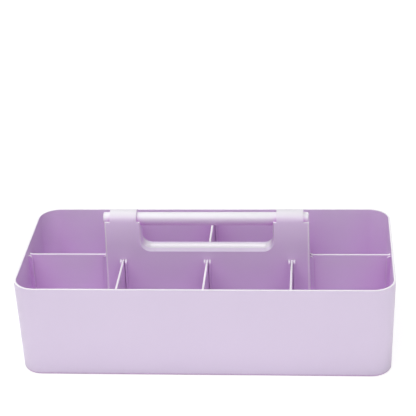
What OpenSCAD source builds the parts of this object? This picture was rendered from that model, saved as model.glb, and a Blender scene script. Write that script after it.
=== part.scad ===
// Storage caddy: a drafted tub with a hollow handle tower, a round grip bar and eight lift-out dividers.
// Millimetres, +Z up, +X to the right, +Y to the rear. The origin is the middle of the footprint.

/* [Tub] */
// Length over the rim
tub_l = 390; // [340:1:440]
// Width over the rim
tub_w = 184.5; // [165:0.5:220]
// Height of the rim
tub_h = 103.3; // [100:0.1:106]
// Corner radius at the rim
corner_r = 24; // [16:0.5:32]
// Thickness of the walls
wall = 2.4; // [2:0.1:2.8]
// Thickness of the floor
floor_t = 2.4; // [2:0.1:3.5]
// Lean of the walls, in degrees
tub_draft = 1.57; // [0.8:0.01:2]
// Radius of the rim's two edges
rim_r = 0.5; // [0.2:0.1:0.9]
// Radius of the edge under the walls
edge_r = 3; // [2:0.1:4]
// Radius between the walls and the floor, inside
fillet_r = 3; // [2:0.1:4.5]
// Height of the foot ring below the floor
foot_h = 1.2; // [0.8:0.1:2]
// Width of the foot ring
foot_w = 4; // [3:0.1:6]

/* [Handle tower] */
// Length of the tower at its shoulders
tower_l = 214; // [208:0.2:214.8]
// Thickness of the tower at its shoulders
tower_t = 20.8; // [18:0.2:24]
// Height of the shoulders, which is also the bar's axis
shoulder_z = 137.2; // [130:0.2:150]
// Lean of the tower's faces, in degrees
tower_draft = 1.3; // [0.8:0.05:1.6]
// Radius of the tower's upright edges at its shoulders
tower_r = 1.6; // [1:0.1:3]
// Wall thickness of the hollow tower
tower_wall = 2.4; // [2:0.1:3]
// Shoulder outside each band
outer_ledge = 5.7; // [4:0.1:8]
// Shoulder between each band and the hand opening
inner_ledge = 4.3; // [3:0.1:6]
// How far the bar's seats reach in under the bands
seat_land = 1.2; // [0.8:0.1:3]

/* [Hand opening] */
// Clear length of the opening
window_l = 138; // [120:1:150]
// Height of the lip under the hand
window_z = 105.7; // [102:0.1:112]
// Radius of the lower corners
window_r = 10; // [6:0.5:16]
// How far the bevel round the opening widens it
bevel_w = 1.6; // [1:0.1:3]
// How deep the bevel reaches into the tower
bevel_d = 7; // [3:0.1:8]

/* [Grip bar] */
// Diameter of the bar
bar_d = 13.9; // [11:0.1:15]
// Length of the bar
bar_l = 215.4; // [212:0.2:217]
// How far the bar has slid to the right of the middle
bar_shift = -1; // [-1.4:0.1:1.4]
// Radius of the bar's end edges
bar_edge = 1.2; // [0.6:0.1:2]
// Radial clearance of the bar in its seats
bar_fit = 0.1; // [0.05:0.01:0.1]

/* [Dividers] */
// Thickness of the divider plates
divider_t = 2.2; // [1.8:0.1:3]
// Height of the dividers' top edges
divider_top = 95; // [80:0.5:98]
// Radius along both sides of the dividers' top edges
divider_r = 0.4; // [0.2:0.1:0.8]
// Distance of the outer cross dividers in from the tower's ends
divider_inset = 18; // [12:0.5:27]
// Clearance between a plate and the ribs beside it
slot_gap = 0.6; // [0.3:0.05:0.8]
// Clearance between a plate's edges and the walls
end_gap = 0.5; // [0.3:0.05:0.8]
// Clearance under the plates
seat_gap = 0.2; // [0.1:0.05:0.4]
// Clearance of a lifted end divider past the bar's end
pass_gap = 0.6; // [0.4:0.1:1]

/* [Ribs] */
// Thickness of the ribs
rib_t = 2; // [1.4:0.1:3]
// How far the ribs stand out from the walls
rib_reach = 4; // [2.5:0.1:4.5]
// Height at which the ribs run out on the walls
rib_top = 94.6; // [80:0.1:98]

/* [Hidden] */

$fn = 96;
// Segments in a quarter turn of a small drawn radius
arc_steps = 6;
// Overrun of the cuts
cut = 1;

lilac = [0.83, 0.77, 0.88];
pale = [0.93, 0.91, 0.95];

tub_lean = tan(tub_draft);
tower_lean = tan(tower_draft);
floor_z = foot_h + floor_t;
core_x = tub_l / 2 - corner_r;
core_y = tub_w / 2 - corner_r;
post_x = tower_l / 2 - tower_r;
post_y = tower_t / 2 - tower_r;
bar_r = bar_d / 2;
seat_r = bar_r + bar_fit;
band_in = window_l / 2 + inner_ledge;
band_out = tower_l / 2 - outer_ledge;
divider_pitch = tower_l / 2 - divider_inset;
bar_reach = bar_l / 2 + abs(bar_shift);
rib_x = divider_t / 2 + slot_gap;

// Distance of the tub's inner wall from its centre line, for the half size at the rim
function inner_at(half, z) = half - wall - (tub_h - z) * tub_lean;

// Distance of the tower's face from its centre line, for the half size at its shoulders
function tower_at(half, z) = half + (shoulder_z - z) * tower_lean;

function arc(c, r, a0, a1) = [
  for (i = [0:arc_steps]) let (a = a0 + (a1 - a0) * i / arc_steps) c + r * [cos(a), sin(a)]
];

// Carries the upright profile below it round a rectangle whose corner centres lie at hx and hy
module carry_round(hx, hy) {
  for (sx = [-1, 1], sy = [-1, 1])
    scale([sx, sy, 1]) translate([hx, hy, 0]) rotate_extrude(angle = 90) children();
  for (s = [0, 180]) rotate([0, 0, s]) {
    translate([hx, hy, 0]) rotate([90, 0, 0]) linear_extrude(2 * hy) children();
    translate([-hx, hy, 0]) rotate([90, 0, 90]) linear_extrude(2 * hx) children();
  }
}

// Profile of the wall, rim and foot, measured outwards from the corner's centre
module wall_profile() {
  foot_x = corner_r - tub_h * tub_lean;
  edge_x = foot_x + edge_r * (tub_lean - 1 / cos(tub_draft));
  rim_z = tub_h - rim_r;
  rim_x = corner_r - rim_r * tub_lean;
  rim_side = rim_r / cos(tub_draft);
  bend_x = inner_at(corner_r, floor_z + fillet_r) - fillet_r / cos(tub_draft);
  polygon(concat(
    [[0, foot_h], [edge_x - foot_w, foot_h], [edge_x - foot_w, 0]],
    arc([edge_x, edge_r], edge_r, -90, -tub_draft),
    arc([rim_x - rim_side, rim_z], rim_r, -tub_draft, 90),
    arc([rim_x - wall + rim_side, rim_z], rim_r, 90, 180 - tub_draft),
    arc([bend_x, floor_z + fillet_r], fillet_r, -tub_draft, -90),
    [[0, floor_z]]
  ));
}

// Upright rib outline with a quarter-round top, rooted in a face that leans by the given amount
function rib_outline(root, low, lean, z0) = [
  for (p = concat(
    [[-root, low], [rib_reach, low]],
    arc([0, rib_top - rib_reach], rib_reach, 0, 80),
    [[-root, rib_top]]
  )) [p.x + (z0 - p.y) * lean, p.y]
];

// A pair of ribs that stand out along +X, one each side of a plate
module rib_pair(outline) {
  for (s = [-1, 1])
    translate([0, s * (rib_x + rib_t / 2) + rib_t / 2, 0])
      rotate([90, 0, 0]) linear_extrude(rib_t) polygon(outline);
}

module tub() {
  outline = rib_outline(wall / 2, foot_h + floor_t / 2, tub_lean, tub_h);
  color(lilac) difference() {
    union() {
      carry_round(core_x, core_y) wall_profile();
      translate([-core_x, -core_y, foot_h]) cube([2 * core_x, 2 * core_y, floor_t]);
      for (s = [0, 180]) rotate([0, 0, s]) {
        translate([wall - tub_l / 2, 0, 0]) rib_pair(outline);
        for (i = [-1:1])
          translate([i * divider_pitch, wall - tub_w / 2, 0]) rotate([0, 0, 90]) rib_pair(outline);
      }
    }
    tower_block();
  }
}

// Solid outer form of the tower, from the underside of the floor to its shoulders
module tower_block() {
  h = shoulder_z - foot_h;
  foot = tower_r + h * tower_lean;
  translate([0, 0, foot_h]) {
    carry_round(post_x, post_y) polygon([[0, 0], [foot, 0], [tower_r, h], [0, h]]);
    translate([-post_x, -post_y, 0]) cube([2 * post_x, 2 * post_y, h]);
  }
}

// Space that the core leaves inside the tower: one hall below the opening and a shaft in each post
module tower_hollow() {
  hall_z = window_z - bevel_w - tower_wall;
  low = foot_h - cut;
  side = tower_at(tower_l / 2, hall_z) - tower_wall;
  hall = [
    for (s = [-1, 1], z = s < 0 ? [low, hall_z] : [hall_z, low])
      [s * (tower_at(tower_t / 2, z) - tower_wall), z]
  ];
  translate([-side, 0, 0]) rotate([90, 0, 90]) linear_extrude(2 * side) polygon(hall);
  shaft = [
    for (s = [-1, 1], z = s < 0 ? [low, shoulder_z] : [shoulder_z, low])
      [s * (tower_at(tower_t / 2, z) - tower_wall), z]
  ];
  for (s = [0, 180]) rotate([0, 0, s])
    translate([band_in + seat_land, 0, 0]) rotate([90, 0, 90])
      linear_extrude(band_out - band_in - 2 * seat_land) polygon(shaft);
}

// Hand opening with its bevels, carried on past the shoulders so that it is open at the top
module hand_opening() {
  flat = tower_at(tower_t / 2, window_z) - bevel_d;
  deep = flat + bevel_d + cut;
  wide = window_r + bevel_w * (deep - flat) / bevel_d;
  half_z = (shoulder_z - window_z - window_r) / 2;
  translate([0, 0, window_z + window_r + half_z]) rotate([90, 0, 0]) {
    carry_round(window_l / 2 - window_r, half_z)
      polygon([[0, -deep], [wide, -deep], [window_r, -flat], [window_r, flat], [wide, deep], [0, deep]]);
    cube([window_l - 2 * window_r, 2 * half_z, 2 * deep], center = true);
  }
}

module handle_tower() {
  outline = rib_outline(tower_wall / 2, floor_z + seat_gap, tower_lean, shoulder_z);
  color(lilac) difference() {
    union() {
      tower_block();
      for (s = [0, 180]) rotate([0, 0, s]) {
        translate([band_in, 0, 0]) band();
        translate([tower_l / 2, 0, 0]) rib_pair(outline);
        for (i = [-1:1])
          translate([i * divider_pitch, tower_t / 2, 0]) rotate([0, 0, 90]) rib_pair(outline);
      }
    }
    tower_hollow();
    hand_opening();
    translate([-tower_l / 2 - cut, 0, shoulder_z]) rotate([0, 90, 0])
      cylinder(h = tower_l + 2 * cut, r = seat_r);
  }
}

// Half-round band over the bar, standing on the shoulders
module band() {
  intersection() {
    translate([0, 0, shoulder_z]) rotate([0, 90, 0]) cylinder(h = band_out - band_in, r = tower_t / 2);
    translate([0, -tower_t, shoulder_z]) cube([band_out - band_in, 2 * tower_t, tower_t]);
  }
}

module grip_bar() {
  color(pale) translate([bar_shift - bar_l / 2, 0, shoulder_z]) rotate([0, 90, 0]) rotate_extrude()
    polygon(concat(
      [[0, 0]],
      arc([bar_r - bar_edge, bar_edge], bar_edge, -90, 0),
      arc([bar_r - bar_edge, bar_l - bar_edge], bar_edge, 0, 90),
      [[0, bar_l]]
    ));
}

// Plate that stands along +X: near and far edges are given at the foot and at the top
module plate(near_low, near_high, far_low, far_high) {
  low = floor_z + seat_gap;
  edge = divider_t / 2;
  color(lilac) intersection() {
    rotate([90, 0, 0]) linear_extrude(divider_t, center = true) polygon(concat(
      [[near_high, divider_top], [near_low, low + fillet_r]],
      arc([near_low + fillet_r, low + fillet_r], fillet_r, 180, 270),
      arc([far_low - fillet_r, low + fillet_r], fillet_r, -90, 0),
      [[far_high, divider_top]]
    ));
    rotate([90, 0, 90]) linear_extrude(tub_l / 2) polygon(concat(
      [[-edge, low]], [[edge, low]],
      arc([edge - divider_r, divider_top - divider_r], divider_r, 0, 90),
      arc([divider_r - edge, divider_top - divider_r], divider_r, 90, 180)
    ));
  }
}

// Plate between the tower's end and a side wall, clear of the bar's end when it is lifted
module end_divider() {
  low = floor_z + seat_gap;
  plate(
    tower_at(tower_l / 2, low) + end_gap,
    max(tower_at(tower_l / 2, divider_top) + end_gap, bar_reach + pass_gap),
    inner_at(tub_l / 2, low) - end_gap,
    inner_at(tub_l / 2, divider_top) - end_gap
  );
}

// Plate between the tower's face and a long wall
module cross_divider() {
  low = floor_z + seat_gap;
  plate(
    tower_at(tower_t / 2, low) + end_gap,
    tower_at(tower_t / 2, divider_top) + end_gap,
    inner_at(tub_w / 2, low) - end_gap,
    inner_at(tub_w / 2, divider_top) - end_gap
  );
}

// Cross divider in front (-1) or at the rear (1), counted from the middle of the tub
module placed_cross(side, i) {
  translate([i * divider_pitch, 0, 0]) rotate([0, 0, side * 90]) cross_divider();
}

module end_divider_left() { rotate([0, 0, 180]) end_divider(); }
module end_divider_right() { end_divider(); }
module front_divider_left() { placed_cross(-1, -1); }
module front_divider_centre() { placed_cross(-1, 0); }
module front_divider_right() { placed_cross(-1, 1); }
module rear_divider_left() { placed_cross(1, -1); }
module rear_divider_centre() { placed_cross(1, 0); }
module rear_divider_right() { placed_cross(1, 1); }

tub();
handle_tower();
grip_bar();
end_divider_left();
end_divider_right();
front_divider_left();
front_divider_centre();
front_divider_right();
rear_divider_left();
rear_divider_centre();
rear_divider_right();
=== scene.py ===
import math
import bmesh
import bpy
from mathutils import Matrix, Vector


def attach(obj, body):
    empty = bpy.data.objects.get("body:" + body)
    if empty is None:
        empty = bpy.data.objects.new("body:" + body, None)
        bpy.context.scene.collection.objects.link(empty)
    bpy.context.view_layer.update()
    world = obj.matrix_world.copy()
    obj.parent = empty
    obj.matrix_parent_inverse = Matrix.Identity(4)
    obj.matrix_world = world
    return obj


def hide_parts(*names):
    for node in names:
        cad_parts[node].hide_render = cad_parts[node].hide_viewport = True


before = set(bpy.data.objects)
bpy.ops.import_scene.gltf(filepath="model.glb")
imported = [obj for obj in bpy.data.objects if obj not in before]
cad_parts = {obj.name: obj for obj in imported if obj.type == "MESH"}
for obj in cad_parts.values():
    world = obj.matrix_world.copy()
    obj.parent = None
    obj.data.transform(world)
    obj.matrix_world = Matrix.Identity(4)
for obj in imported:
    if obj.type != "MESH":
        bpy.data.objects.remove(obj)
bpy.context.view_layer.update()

# Tub
# The outer box of the caddy: one lilac polypropylene moulding with drafted walls, round corners, a flat rim
# and a narrow foot ring. Pairs of upright ribs stand on the walls, and each pair is a slot for a divider.
rim_length = 0.390
rim_width = 0.1845
rim_height = 0.1033
corner_radius = 0.024
wall = 0.0024
floor_low = 0.0012
floor_high = 0.0036
tub_lean = math.tan(math.radians(1.57))
corner_x = rim_length / 2 - corner_radius
corner_y = rim_width / 2 - corner_radius
rib_thickness = 0.002
rib_reach = 0.004
rib_top = 0.0946
rib_from_plate = 0.0027
rib_crest_share = 0.97
tub_rib_foot = 0.0024
divider_places = (-0.089, 0, 0.089)
foot_ring = 0.004
under_edge = 0.003
rim_edge = 0.0005
floor_fillet = 0.003
slot_x = 0.1086
slot_y = 0.0124
slot_corner = 0.003
hair = 1e-6


def rounded_outline(mesh, points, radii):
    """Draws an upright outline in the XZ plane, rounds its corners and returns its face."""
    outline = mesh.faces.new([mesh.verts.new((out, 0, up)) for out, up in points])
    corners = list(outline.verts)
    for corner, radius in zip(corners, radii):
        if radius:
            bmesh.ops.bevel(mesh, geom=[corner], offset=radius, segments=6, profile=0.5,
                            affect="VERTICES", material=-1)
    return next(iter(mesh.faces))


def carry_round(mesh, chain, half_x, half_y, steps):
    """Carries the edges of an upright section round a rectangle whose round corners have these centres."""
    start = list(dict.fromkeys(vert for edge in chain for vert in edge.verts))
    bmesh.ops.translate(mesh, verts=start, vec=(half_x, half_y, 0))
    turns = ((half_x, half_y), (-half_x, half_y), (-half_x, -half_y), (half_x, -half_y))
    for here, there in zip(turns, turns[1:] + turns[:1]):
        spun = bmesh.ops.spin(mesh, geom=chain + start, cent=(*here, 0), axis=(0, 0, 1),
                              angle=math.pi / 2, steps=steps, use_duplicate=False)
        chain = [item for item in spun["geom_last"] if isinstance(item, bmesh.types.BMEdge)]
        run = bmesh.ops.extrude_edge_only(mesh, edges=chain)["geom"]
        chain = [item for item in run if isinstance(item, bmesh.types.BMEdge)]
        start = [item for item in run if isinstance(item, bmesh.types.BMVert)]
        bmesh.ops.translate(mesh, verts=start, vec=(there[0] - here[0], there[1] - here[1], 0))
    bmesh.ops.remove_doubles(mesh, verts=mesh.verts[:], dist=hair)


def slot_loop(mesh, half_x, half_y, radius, height):
    """Lays a rounded rectangle of edges at this height and returns its edges."""
    corners = bmesh.ops.create_grid(mesh, x_segments=1, y_segments=1, size=1)["verts"]
    bmesh.ops.scale(mesh, verts=corners, vec=(half_x, half_y, 1))
    bmesh.ops.translate(mesh, verts=corners, vec=(0, 0, height))
    rounded = bmesh.ops.bevel(mesh, geom=corners, offset=radius, segments=6, profile=0.5,
                              affect="VERTICES", material=-1)
    face = rounded["verts"][0].link_faces[0]
    edges = list(face.edges)
    bmesh.ops.delete(mesh, geom=[face], context="FACES_ONLY")
    return edges


def rib_pair(mesh, lean, lean_height, foot, place):
    """Adds two ribs that stand out along +X, one each side of a plate, and moves them into place."""
    for side in (-1, 1):
        rib = bmesh.ops.create_cube(mesh, size=1)["verts"]
        root = wall / 2
        bmesh.ops.scale(mesh, verts=rib, vec=(root + rib_reach, rib_thickness, rib_top - foot))
        bmesh.ops.translate(mesh, verts=rib, vec=((rib_reach - root) / 2, side * rib_from_plate,
                                                  (rib_top + foot) / 2))
        crest = [edge for edge in dict.fromkeys(edge for vert in rib for edge in vert.link_edges)
                 if all(vert.co.x > 0 and vert.co.z > (rib_top + foot) / 2 for vert in edge.verts)]
        rounded = bmesh.ops.bevel(mesh, geom=crest, offset=rib_reach * rib_crest_share, segments=8,
                                  profile=0.5, affect="EDGES", material=-1)
        rib = list(dict.fromkeys([vert for vert in rib if vert.is_valid] + rounded["verts"]))
        leaning = Matrix.Translation((lean * lean_height, 0, 0)) @ Matrix.Shear("XY", 4, (-lean, 0))
        bmesh.ops.transform(mesh, matrix=place @ leaning, verts=rib)


def finished(mesh, name, edge_radius, plastics, body, nodes):
    """Makes the mesh a smooth piece, with small round edges if it has a radius, in place of its nodes."""
    bmesh.ops.recalc_face_normals(mesh, faces=mesh.faces[:])
    data = bpy.data.meshes.new(name)
    mesh.to_mesh(data)
    mesh.free()
    data.polygons.foreach_set("use_smooth", [True] * len(data.polygons))
    data.set_sharp_from_angle(angle=math.radians(32))
    for plastic in plastics:
        data.materials.append(plastic)
    piece = bpy.data.objects.new(name, data)
    bpy.context.scene.collection.objects.link(piece)
    if edge_radius:
        rounding = piece.modifiers.new("small_edges", "BEVEL")
        rounding.width = edge_radius
        rounding.segments = 2
        # The small round edges take the last plastic; on the tub that is the paler edge lilac, a painted
        # highlight.
        rounding.material = len(plastics) - 1
        rounding.limit_method = "ANGLE"
        rounding.angle_limit = math.radians(40)
        rounding.harden_normals = True
    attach(piece, body)
    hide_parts(*nodes)


def moulded_plastic(name, pale, deep, hollow, closeness, top_highlight, roughness, shine, gloss):
    """Makes a satin plastic: faintly clouded, with a painted shade that deepens the colour where other
    surfaces are near, a painted highlight that pales faces turned up near the top, and a fine grain.
    """
    material = bpy.data.materials.new(name)
    material.use_nodes = True
    tree = material.node_tree
    shader = tree.nodes["Principled BSDF"]
    shader.inputs["Roughness"].default_value = roughness
    shader.inputs["Specular IOR Level"].default_value = shine
    shader.inputs["Coat Weight"].default_value = gloss
    shader.inputs["Coat Roughness"].default_value = 0.22
    place = tree.nodes.new("ShaderNodeTexCoord")
    cloud = tree.nodes.new("ShaderNodeTexNoise")
    cloud.inputs["Scale"].default_value = 16
    cloud.inputs["Detail"].default_value = 3
    tree.links.new(place.outputs["Object"], cloud.inputs["Vector"])
    tint = tree.nodes.new("ShaderNodeMix")
    tint.data_type = "RGBA"
    tint.inputs["A"].default_value = (*deep, 1)
    tint.inputs["B"].default_value = (*pale, 1)
    tree.links.new(cloud.outputs["Fac"], tint.inputs["Factor"])
    # Painted shade: ambient occlusion mixes in the deeper hollow tint where other surfaces are near, in
    # creases, between parts, under the bar and along the foot.
    openness = tree.nodes.new("ShaderNodeAmbientOcclusion")
    openness.samples = 6
    openness.inputs["Distance"].default_value = closeness
    depth = tree.nodes.new("ShaderNodeMix")
    depth.data_type = "RGBA"
    depth.inputs["A"].default_value = (*hollow, 1)
    tree.links.new(tint.outputs["Result"], depth.inputs["B"])
    deeper = tree.nodes.new("ShaderNodeMath")
    deeper.operation = "POWER"
    deeper.inputs[1].default_value = 1.6
    tree.links.new(openness.outputs["AO"], deeper.inputs[0])
    tree.links.new(deeper.outputs["Value"], depth.inputs["Factor"])
    # Painted highlight: faces turned up and near the top are mixed towards a paler highlight tint.
    facing = tree.nodes.new("ShaderNodeSeparateXYZ")
    tree.links.new(place.outputs["Normal"], facing.inputs["Vector"])
    level = tree.nodes.new("ShaderNodeSeparateXYZ")
    tree.links.new(place.outputs["Object"], level.inputs["Vector"])
    upward = tree.nodes.new("ShaderNodeMapRange")
    upward.interpolation_type = "SMOOTHSTEP"
    upward.inputs["From Min"].default_value = 0.15
    tree.links.new(facing.outputs["Z"], upward.inputs["Value"])
    near_top = tree.nodes.new("ShaderNodeMapRange")
    near_top.inputs["From Min"].default_value = 0.06
    near_top.inputs["From Max"].default_value = 0.09
    tree.links.new(level.outputs["Z"], near_top.inputs["Value"])
    highlight_amount = tree.nodes.new("ShaderNodeMath")
    highlight_amount.operation = "MULTIPLY"
    tree.links.new(upward.outputs["Result"], highlight_amount.inputs[0])
    tree.links.new(near_top.outputs["Result"], highlight_amount.inputs[1])
    painted_highlight = tree.nodes.new("ShaderNodeMix")
    painted_highlight.data_type = "RGBA"
    painted_highlight.inputs["B"].default_value = (*top_highlight, 1)
    tree.links.new(highlight_amount.outputs["Value"], painted_highlight.inputs["Factor"])
    tree.links.new(depth.outputs["Result"], painted_highlight.inputs["A"])
    tree.links.new(painted_highlight.outputs["Result"], shader.inputs["Base Color"])
    grain = tree.nodes.new("ShaderNodeTexNoise")
    grain.inputs["Scale"].default_value = 1600
    grain.inputs["Detail"].default_value = 2
    tree.links.new(place.outputs["Object"], grain.inputs["Vector"])
    relief = tree.nodes.new("ShaderNodeBump")
    relief.inputs["Strength"].default_value = 0.05
    relief.inputs["Distance"].default_value = 0.0002
    tree.links.new(grain.outputs["Fac"], relief.inputs["Height"])
    wave = tree.nodes.new("ShaderNodeBump")
    wave.inputs["Strength"].default_value = 0.05
    wave.inputs["Distance"].default_value = 0.0002
    tree.links.new(cloud.outputs["Fac"], wave.inputs["Height"])
    tree.links.new(relief.outputs["Normal"], wave.inputs["Normal"])
    tree.links.new(wave.outputs["Normal"], shader.inputs["Normal"])
    return material


# The outside lilac is the plastic's own colour; its hollow tint, reaching only a few millimetres, paints a
# contact shade along the foot.
outer_lilac = moulded_plastic(
    "lilac_outside", pale=(0.80, 0.69, 0.88), deep=(0.78, 0.67, 0.865), hollow=(0.52, 0.22, 0.56),
    closeness=0.004, top_highlight=(0.93, 0.91, 0.95), roughness=0.36, shine=0.6, gloss=0.2,
)
# The inside copy is deeper than the outside lilac: painted shade on the tub's inner walls, ribs and floor,
# and on the plates.
inner_lilac = moulded_plastic(
    "lilac_inside_painted_shade", pale=(0.80, 0.645, 0.875), deep=(0.78, 0.625, 0.86), hollow=(0.745, 0.43, 0.82),
    closeness=0.06, top_highlight=(0.94, 0.92, 0.96), roughness=0.36, shine=0.45, gloss=0.1,
)
# The edge lilac is paler than the plastic: a painted highlight on the tub's small round edges, the tower's
# upright corners and the lip's flat top.
edge_lilac = moulded_plastic(
    "lilac_edge_highlight", pale=(0.96, 0.90, 0.97), deep=(0.94, 0.88, 0.95), hollow=(0.82, 0.60, 0.88),
    closeness=0.06, top_highlight=(0.84, 0.81, 0.87), roughness=0.30, shine=1.0, gloss=0.8,
)

mesh = bmesh.new()
inner_foot = corner_radius - wall - (rim_height - floor_high) * tub_lean
outer_foot = corner_radius - rim_height * tub_lean
section = rounded_outline(
    mesh,
    ((0, floor_low), (outer_foot - foot_ring, floor_low), (outer_foot - foot_ring, 0), (outer_foot, 0),
     (corner_radius, rim_height), (corner_radius - wall, rim_height),
     (inner_foot, floor_high), (0, floor_high)),
    (0, 0, 0, under_edge, rim_edge, rim_edge, floor_fillet, 0),
)
chain = [edge for edge in section.edges if any(abs(vert.co.x) > hair for vert in edge.verts)]
closing = [edge for edge in section.edges if edge not in chain]
bmesh.ops.delete(mesh, geom=[section], context="FACES_ONLY")
bmesh.ops.delete(mesh, geom=closing, context="EDGES")
carry_round(mesh, chain, corner_x, corner_y, steps=16)

floor_rims = [edge for edge in mesh.edges if edge.is_boundary]
slot_rims = []
for height in (floor_low, floor_high):
    slot = slot_loop(mesh, slot_x, slot_y, slot_corner, height)
    around = [edge for edge in floor_rims if abs(edge.verts[0].co.z - height) < hair]
    bmesh.ops.triangle_fill(mesh, use_beauty=True, use_dissolve=True, edges=around + slot)
    slot_rims += slot
bmesh.ops.bridge_loops(mesh, edges=slot_rims)
shell = set(mesh.faces)

for turn in (0, math.pi):
    facing = Matrix.Rotation(turn, 4, "Z")
    at_end = Matrix.Translation((wall - rim_length / 2, 0, 0))
    rib_pair(mesh, tub_lean, rim_height, tub_rib_foot, facing @ at_end)
    for place in divider_places:
        along = Matrix.Translation((place, wall - rim_width / 2, 0)) @ Matrix.Rotation(math.pi / 2, 4, "Z")
        rib_pair(mesh, tub_lean, rim_height, tub_rib_foot, facing @ along)

bmesh.ops.recalc_face_normals(mesh, faces=mesh.faces[:])
# Inner faces, ribs and floor take the deeper inside copy as painted shade.
for face in mesh.faces:
    middle = face.calc_center_median()
    faces_in = face.normal.x * middle.x + face.normal.y * middle.y < 0
    on_floor = face.normal.z > 0.5 and middle.z < rim_height / 2
    if face not in shell or faces_in or on_floor:
        face.material_index = 1
finished(mesh, "moulded_tub", edge_radius=0.0003, plastics=(outer_lilac, inner_lilac, edge_lilac),
         body="caddy", nodes=["tub"])

# Handle tower
# The hollow panel in the middle of the tub, moulded with it. It has a bevelled hand opening that is open at
# the top, half-round seats for the bar in its shoulders, and a band over each post that holds the bar down.
tower_length = 0.214
tower_thickness = 0.0208
shoulder = 0.1372
tower_lean = math.tan(math.radians(1.3))
tower_wall = 0.0024
tower_edge = 0.0016
tower_foot = floor_low + 0.0002
tower_rib_foot = 0.0038
post_x = tower_length / 2 - tower_edge
post_y = tower_thickness / 2 - tower_edge
band_in = 0.0733
band_out = 0.1013
opening_half = 0.069
opening_corner = 0.010
opening_deep = 0.0122
past_shoulder = 0.004
lip = 0.1057
lip_round = 0.0034
bevel_depth = 0.0070
bevel_rise = 0.0016
bevel_reach = 0.003
bar_radius = 0.00695
seat_radius = 0.00705
seat_land = 0.0012
head_room = 0.012
trim_half = 0.12
trim_width = 0.04
trim_height = 0.03
trim_length = 0.26
ledge_rise = 0.01
round_sides = 96


def new_cutter(mesh, name):
    """Makes the mesh a plain object to cut with."""
    bmesh.ops.recalc_face_normals(mesh, faces=mesh.faces[:])
    data = bpy.data.meshes.new(name)
    mesh.to_mesh(data)
    mesh.free()
    cutter = bpy.data.objects.new(name, data)
    bpy.context.scene.collection.objects.link(cutter)
    return cutter


block = bmesh.new()
height = shoulder + head_room - tower_foot
foot_out = tower_edge + (shoulder - tower_foot) * tower_lean
side = block.edges.new((block.verts.new((foot_out, 0, tower_foot)),
                        block.verts.new((foot_out - height * tower_lean, 0, shoulder + head_room))))
carry_round(block, [side], post_x, post_y, steps=10)
bmesh.ops.holes_fill(block, edges=[edge for edge in block.edges if edge.is_boundary], sides=0)
tower = new_cutter(block, "handle_panel")

cutters = []
mesh = bmesh.new()
saddle = bmesh.ops.create_cube(mesh, size=1)["verts"]
bmesh.ops.scale(mesh, verts=saddle, vec=(2 * trim_half, trim_width, trim_height))
bmesh.ops.translate(mesh, verts=saddle, vec=(0, 0, shoulder + trim_height / 2))
cutters.append(new_cutter(mesh, "saddle"))
mesh = bmesh.new()
along_bar = Matrix.Translation((0, 0, shoulder)) @ Matrix.Rotation(math.pi / 2, 4, "Y")
bmesh.ops.create_cone(mesh, cap_ends=True, segments=round_sides, radius1=tower_thickness / 2,
                      radius2=tower_thickness / 2, depth=trim_length, matrix=along_bar)
crown = new_cutter(mesh, "crown")
carve = cutters[0].modifiers.new("crown", "BOOLEAN")
carve.object = crown
carve.operation = "DIFFERENCE"
carve.solver = "EXACT"

mesh = bmesh.new()
past_band = trim_half - band_out
for middle, half in ((0, band_in), (-trim_half, past_band), (trim_half, past_band)):
    ledge = bmesh.ops.create_cube(mesh, size=2)["verts"]
    bmesh.ops.scale(mesh, verts=ledge, vec=(half, trim_width / 2, ledge_rise))
    bmesh.ops.translate(mesh, verts=ledge, vec=(middle, 0, shoulder + ledge_rise))
cutters.append(new_cutter(mesh, "ledges"))

mesh = bmesh.new()
flat = tower_thickness / 2 + (shoulder - lip) * tower_lean - bevel_depth
wide = opening_corner + bevel_rise * (opening_deep - flat) / bevel_depth
half_rise = (shoulder + past_shoulder - lip) / 2
crowned = rounded_outline(
    mesh,
    ((0, -opening_deep), (wide, -opening_deep), (opening_corner, -flat),
     (opening_corner, flat), (wide, opening_deep), (0, opening_deep)),
    (0, 0, lip_round, lip_round, 0, 0),
)
sweep = [edge for edge in crowned.edges if all(vert.co.x > hair for vert in edge.verts)]
closing = [edge for edge in crowned.edges if edge not in sweep]
bmesh.ops.delete(mesh, geom=[crowned], context="FACES_ONLY")
bmesh.ops.delete(mesh, geom=closing, context="EDGES")
carry_round(mesh, sweep, opening_half - opening_corner, half_rise, steps=14)
bmesh.ops.holes_fill(mesh, edges=[edge for edge in mesh.edges if edge.is_boundary], sides=0)
raised = Matrix.Translation((0, 0, lip + opening_corner + half_rise)) @ Matrix.Rotation(math.pi / 2, 4, "X")
bmesh.ops.transform(mesh, matrix=raised, verts=mesh.verts[:])
cutters.append(new_cutter(mesh, "hand_opening"))

mesh = bmesh.new()
bmesh.ops.create_cone(mesh, cap_ends=True, segments=round_sides, radius1=seat_radius,
                      radius2=seat_radius, depth=trim_length, matrix=along_bar)
cutters.append(new_cutter(mesh, "seat"))

mesh = bmesh.new()
hall_top = lip - bevel_rise - tower_wall
hall_half = tower_length / 2 + (shoulder - hall_top) * tower_lean - tower_wall
low_y = tower_thickness / 2 + shoulder * tower_lean - tower_wall
high_y = tower_thickness / 2 + (shoulder - hall_top) * tower_lean - tower_wall
hall = bmesh.ops.create_cube(mesh, size=2)["verts"]
for vert in hall:
    top = vert.co.z > 0
    vert.co.x *= hall_half
    vert.co.y *= high_y if top else low_y
    vert.co.z = hall_top if top else 0
shaft_in = band_in + seat_land
shaft_out = band_out - seat_land
for cut_at in (-shaft_out, -shaft_in, shaft_in, shaft_out):
    bmesh.ops.bisect_plane(mesh, geom=mesh.verts[:] + mesh.edges[:] + mesh.faces[:],
                           plane_co=(cut_at, 0, 0), plane_no=(1, 0, 0))
under_posts = [face for face in mesh.faces if face.normal.z > 0.9
               and shaft_in < abs(face.calc_center_median().x) < shaft_out]
shafts = bmesh.ops.extrude_face_region(mesh, geom=under_posts)["geom"]
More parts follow.
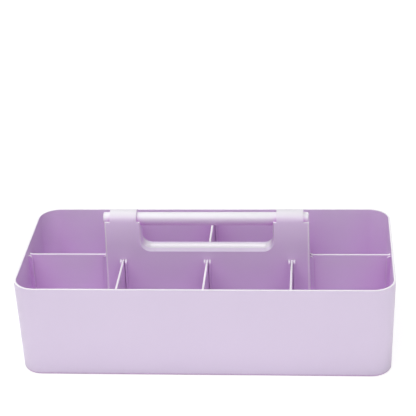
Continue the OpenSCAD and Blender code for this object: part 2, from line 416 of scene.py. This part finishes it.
bmesh.ops.delete(mesh, geom=under_posts, context="FACES_ONLY")
for vert in [item for item in shafts if isinstance(item, bmesh.types.BMVert)]:
    vert.co.y = math.copysign(tower_thickness / 2 - tower_wall, vert.co.y)
    vert.co.z = shoulder
cutters.append(new_cutter(mesh, "hall_and_shafts"))

for cutter in cutters:
    cut = tower.modifiers.new(cutter.name, "BOOLEAN")
    cut.object = cutter
    cut.operation = "DIFFERENCE"
    cut.solver = "EXACT"
cut_tower = tower.evaluated_get(bpy.context.evaluated_depsgraph_get())
mesh = bmesh.new()
mesh.from_mesh(cut_tower.to_mesh())
cut_tower.to_mesh_clear()
for spent in cutters + [crown, tower]:
    bpy.data.objects.remove(spent)
bmesh.ops.remove_doubles(mesh, verts=mesh.verts[:], dist=2 * hair)
bmesh.ops.dissolve_limit(mesh, angle_limit=math.radians(0.6), verts=mesh.verts[:], edges=mesh.edges[:])
# A lighter copy of the tower's plastic for the opening's bevel: painted light, not a different plastic.
bevel_lilac = moulded_plastic(
    "lilac_bevel", pale=(0.80, 0.71, 0.87), deep=(0.78, 0.69, 0.855), hollow=(0.74, 0.52, 0.82),
    closeness=0.06, top_highlight=(0.78, 0.69, 0.86), roughness=0.32, shine=0.7, gloss=0.4,
)
# The tower's plastic is a deeper copy like the tub's inside: painted shade.
band_lilac = moulded_plastic(
    "lilac_bands", pale=(0.805, 0.65, 0.88), deep=(0.785, 0.63, 0.865), hollow=(0.765, 0.52, 0.84),
    closeness=0.06, top_highlight=(0.82, 0.79, 0.85), roughness=0.34, shine=0.5, gloss=0.2,
)
for turn in (0, math.pi):
    facing = Matrix.Rotation(turn, 4, "Z")
    at_end = Matrix.Translation((tower_length / 2, 0, 0))
    rib_pair(mesh, tower_lean, shoulder, tower_rib_foot, facing @ at_end)
    for place in divider_places:
        along = Matrix.Translation((place, tower_thickness / 2, 0)) @ Matrix.Rotation(math.pi / 2, 4, "Z")
        rib_pair(mesh, tower_lean, shoulder, tower_rib_foot, facing @ along)

bmesh.ops.recalc_face_normals(mesh, faces=mesh.faces[:])
for face in mesh.faces:
    middle = face.calc_center_median()
    round_opening = middle.z > lip - bevel_reach and abs(middle.x) < opening_half + bevel_reach
    on_corner = abs(face.normal.x) > 0.2 and abs(face.normal.y) > 0.2 and abs(face.normal.z) < 0.2
    on_bevel = 0.15 < abs(face.normal.y) < 0.3 and round_opening
    on_lip = face.normal.z > 0.99 and abs(middle.z - lip) < 0.001
    # The rounded upright corners and the lip's flat top take the paler edge lilac as a painted highlight;
    # the opening's bevel takes the lighter copy as painted light.
    face.material_index = 2 if on_corner or on_lip else 1 if on_bevel else 0
finished(mesh, "moulded_tower", edge_radius=0, plastics=(band_lilac, bevel_lilac, edge_lilac),
         body="caddy", nodes=["handle_tower"])

# Grip bar
# A loose round bar of paler plastic with rounded ends. It lies in the half-round seats of the shoulders and
# is threaded under both bands, so that it can turn in the hand.
bar_length = 0.2154
bar_slide = 0.001
bar_end_round = 0.0012
# The bar's own colour is the paler plastic; its paler top tint is a painted highlight and its deeper tint
# below is painted shade.
pearl = moulded_plastic(
    "lilac_bar_plastic", pale=(0.77, 0.71, 0.825), deep=(0.75, 0.69, 0.81), hollow=(0.68, 0.27, 0.75),
    closeness=0.14, top_highlight=(0.88, 0.86, 0.91), roughness=0.30, shine=0.5, gloss=0.4,
)
mesh = bmesh.new()
place = Matrix.Translation((-bar_slide, 0, shoulder)) @ Matrix.Rotation(math.pi / 2, 4, "Y")
bmesh.ops.create_cone(mesh, cap_ends=True, segments=64, radius1=bar_radius, radius2=bar_radius,
                      depth=bar_length, matrix=place)
ends = [edge for edge in mesh.edges if abs(edge.verts[0].co.x - edge.verts[1].co.x) < hair]
bmesh.ops.bevel(mesh, geom=ends, offset=bar_end_round, segments=5, profile=0.5, affect="EDGES",
                material=-1)
finished(mesh, "round_grip_bar", edge_radius=0, plastics=(pearl,),
         body="bar", nodes=["grip_bar"])

# Dividers
# Eight thin plates of the same plastic, with a flat top edge and round lower corners. Each one drops into
# its rib pairs, and is a little shorter than its slot so that it lifts straight out. The end plates also
# clear the bar's ends on their way up.
plate_thickness = 0.0022
plate_top = 0.095
plate_foot = 0.0038
plate_play = 0.0005
past_bar = 0.0006
plate_corner = 0.003
plate_edge = 0.0004


def divider(name, near_foot, near_top, far_foot, far_top, place, body):
    """Makes a plate that stands along +X, moves it into place and sets it on its body."""
    mesh = bmesh.new()
    outline = rounded_outline(
        mesh,
        ((near_foot, plate_foot), (far_foot, plate_foot), (far_top, plate_top), (near_top, plate_top)),
        (plate_corner, plate_corner, 0, 0),
    )
    grown = bmesh.ops.extrude_face_region(mesh, geom=[outline], use_keep_orig=True)["geom"]
    far_side = [item for item in grown if isinstance(item, bmesh.types.BMVert)]
    bmesh.ops.translate(mesh, verts=far_side, vec=(0, plate_thickness, 0))
    bmesh.ops.translate(mesh, verts=mesh.verts[:], vec=(0, -plate_thickness / 2, 0))
    crest = [edge for edge in mesh.edges if all(vert.co.z > plate_top - hair for vert in edge.verts)
             and abs(edge.verts[0].co.y - edge.verts[1].co.y) < hair]
    bmesh.ops.bevel(mesh, geom=crest, offset=plate_edge, segments=4, profile=0.5, affect="EDGES",
                    material=-1)
    bmesh.ops.transform(mesh, matrix=place, verts=mesh.verts[:])
    # The plates take the deeper inside copy of the plastic: painted shade.
    finished(mesh, name.replace("divider", "plate"), edge_radius=0.0003, plastics=(inner_lilac,),
             body=body, nodes=[name])


def tower_at(half, height):
    """Gives how far out the tower's face is at this height."""
    return half + (shoulder - height) * tower_lean


def tub_at(half, height):
    """Gives how far out the tub's inner wall is at this height."""
    return half - wall - (rim_height - height) * tub_lean


end_plate = (
    tower_at(tower_length / 2, plate_foot) + plate_play,
    bar_length / 2 + bar_slide + past_bar,
    tub_at(rim_length / 2, plate_foot) - plate_play,
    tub_at(rim_length / 2, plate_top) - plate_play,
)
cross_plate = (
    tower_at(tower_thickness / 2, plate_foot) + plate_play,
    tower_at(tower_thickness / 2, plate_top) + plate_play,
    tub_at(rim_width / 2, plate_foot) - plate_play,
    tub_at(rim_width / 2, plate_top) - plate_play,
)
divider("end_divider_left", *end_plate, Matrix.Rotation(math.pi, 4, "Z"), "end_left")
divider("end_divider_right", *end_plate, Matrix.Identity(4), "end_right")
for row, turn in (("front", -math.pi / 2), ("rear", math.pi / 2)):
    for side, place in zip(("left", "centre", "right"), divider_places):
        across = Matrix.Translation((place, 0, 0)) @ Matrix.Rotation(turn, 4, "Z")
        divider(f"{row}_divider_{side}", *cross_plate, across, f"{row}_{side}")

# Floor and backdrop
# A pale seamless sheet under the caddy. It looks white to the camera, and keeps the caddy's soft shadow.
sheet = bmesh.new()
bmesh.ops.create_grid(sheet, x_segments=1, y_segments=1, size=3)
paper = bpy.data.materials.new("white_paper")
paper.use_nodes = True
tree = paper.node_tree
tree.nodes.remove(tree.nodes["Principled BSDF"])
matt = tree.nodes.new("ShaderNodeBsdfDiffuse")
matt.inputs["Color"].default_value = (0.93, 0.93, 0.93, 1)
spot = tree.nodes.new("ShaderNodeTexCoord")
beyond = tree.nodes.new("ShaderNodeVectorMath")
beyond.operation = "ABSOLUTE"
tree.links.new(spot.outputs["Object"], beyond.inputs[0])
past_rim = tree.nodes.new("ShaderNodeVectorMath")
past_rim.operation = "SUBTRACT"
past_rim.inputs[1].default_value = (rim_length / 2 - 0.02, rim_width / 2 - 0.02, 0)
tree.links.new(beyond.outputs["Vector"], past_rim.inputs[0])
outwards = tree.nodes.new("ShaderNodeVectorMath")
outwards.operation = "MAXIMUM"
tree.links.new(past_rim.outputs["Vector"], outwards.inputs[0])
away = tree.nodes.new("ShaderNodeVectorMath")
away.operation = "LENGTH"
tree.links.new(outwards.outputs["Vector"], away.inputs[0])
# Painted light: for every ray but the camera's the sheet glows, though it is no lamp, and the glow fades
# out near the caddy as a painted contact shadow.
fade = tree.nodes.new("ShaderNodeMapRange")
fade.inputs["From Min"].default_value = 0.018
fade.inputs["From Max"].default_value = 0.045
fade.inputs["To Max"].default_value = 0.25
tree.links.new(away.outputs["Value"], fade.inputs["Value"])
lit_glow = tree.nodes.new("ShaderNodeEmission")
tree.links.new(fade.outputs["Result"], lit_glow.inputs["Strength"])
lit = tree.nodes.new("ShaderNodeAddShader")
tree.links.new(matt.outputs["BSDF"], lit.inputs[0])
tree.links.new(lit_glow.outputs["Emission"], lit.inputs[1])
seen_matt = tree.nodes.new("ShaderNodeBsdfDiffuse")
seen_matt.inputs["Color"].default_value = (0.3, 0.3, 0.3, 1)
# Painted light: to the camera the sheet glows more strongly away from the caddy, so that the far floor
# stays white where the lamps' light falls off.
clearing = tree.nodes.new("ShaderNodeMapRange")
clearing.inputs["From Min"].default_value = 0.1
clearing.inputs["From Max"].default_value = 0.6
clearing.inputs["To Min"].default_value = 0.85
clearing.inputs["To Max"].default_value = 1
tree.links.new(away.outputs["Value"], clearing.inputs["Value"])
glow = tree.nodes.new("ShaderNodeEmission")
tree.links.new(clearing.outputs["Result"], glow.inputs["Strength"])
seen = tree.nodes.new("ShaderNodeAddShader")
tree.links.new(seen_matt.outputs["BSDF"], seen.inputs[0])
tree.links.new(glow.outputs["Emission"], seen.inputs[1])
ray = tree.nodes.new("ShaderNodeLightPath")
choice = tree.nodes.new("ShaderNodeMixShader")
tree.links.new(ray.outputs["Is Camera Ray"], choice.inputs["Fac"])
tree.links.new(lit.outputs["Shader"], choice.inputs[1])
tree.links.new(seen.outputs["Shader"], choice.inputs[2])
tree.links.new(choice.outputs["Shader"], tree.nodes["Material Output"].inputs["Surface"])
sheet_data = bpy.data.meshes.new("paper_sheet")
sheet.to_mesh(sheet_data)
sheet.free()
sheet_data.materials.append(paper)
floor = bpy.data.objects.new("paper_sheet", sheet_data)
bpy.context.scene.collection.objects.link(floor)

# Studio light
# A white surround that only the camera and the gloss see, and large soft boxes that the camera doesn't see.
world = bpy.data.worlds.new("white_studio")
bpy.context.scene.world = world
world.use_nodes = True
tree = world.node_tree
white = tree.nodes["Background"]
white.inputs["Color"].default_value = (1, 1, 1, 1)
ray = tree.nodes.new("ShaderNodeLightPath")
direct = tree.nodes.new("ShaderNodeMath")
direct.operation = "MAXIMUM"
tree.links.new(ray.outputs["Is Camera Ray"], direct.inputs[0])
tree.links.new(ray.outputs["Is Glossy Ray"], direct.inputs[1])
shown = tree.nodes.new("ShaderNodeMath")
shown.operation = "MAXIMUM"
tree.links.new(direct.outputs["Value"], shown.inputs[0])
tree.links.new(ray.outputs["Is Transmission Ray"], shown.inputs[1])
tree.links.new(shown.outputs["Value"], white.inputs["Strength"])
bpy.context.scene.view_settings.view_transform = "Standard"


def soft_box(name, place, width, height, energy):
    """Hangs a rectangular lamp that faces the middle of the caddy."""
    data = bpy.data.lights.new(name, "AREA")
    data.shape = "RECTANGLE"
    data.size = width
    data.size_y = height
    data.energy = energy
    lamp = bpy.data.objects.new(name, data)
    lamp.visible_camera = False
    bpy.context.scene.collection.objects.link(lamp)
    aim = Vector(place) - Vector((0, 0, 0.08))
    lamp.matrix_world = Matrix.Translation(place) @ aim.to_track_quat("Z", "Y").to_matrix().to_4x4()


soft_box("key_box", (-0.45, 0.1, 1.5), 1.4, 1.3, 13.6)
soft_box("rear_strip", (0, 1.6, 0.88), 2.6, 0.5, 6)
soft_box("front_box", (0, -1.1, 1.35), 2.2, 1.0, 14.5)
soft_box("left_box", (-1.6, -0.3, 0.24), 1.4, 0.42, 2.6)
soft_box("right_box", (1.5, -0.6, 0.24), 1.4, 0.42, 2.4)
soft_box("right_high", (1.5, -0.6, 0.75), 1.2, 1.2, 2.6)

# Camera
# A long lens a little to the right, looking down at the caddy as in the photograph.
lens = bpy.data.cameras.new("long_lens")
lens.lens = 125.45
lens.sensor_width = 36
camera = bpy.data.objects.new("long_lens", lens)
bpy.context.scene.collection.objects.link(camera)
eye = (0.1199, -1.3533, 0.81944)
pitch = 0.45804
yaw = -0.086998
roll = -0.038808
forward = Vector((math.sin(yaw) * math.cos(pitch), math.cos(yaw) * math.cos(pitch), -math.sin(pitch)))
level = Vector((math.cos(yaw), -math.sin(yaw), 0))
upright = level.cross(forward)
right = math.cos(roll) * level + math.sin(roll) * upright
above = math.cos(roll) * upright - math.sin(roll) * level
facing = Matrix((right, above, -forward)).transposed().to_4x4()
camera.matrix_world = Matrix.Translation(eye) @ facing
bpy.context.scene.camera = camera
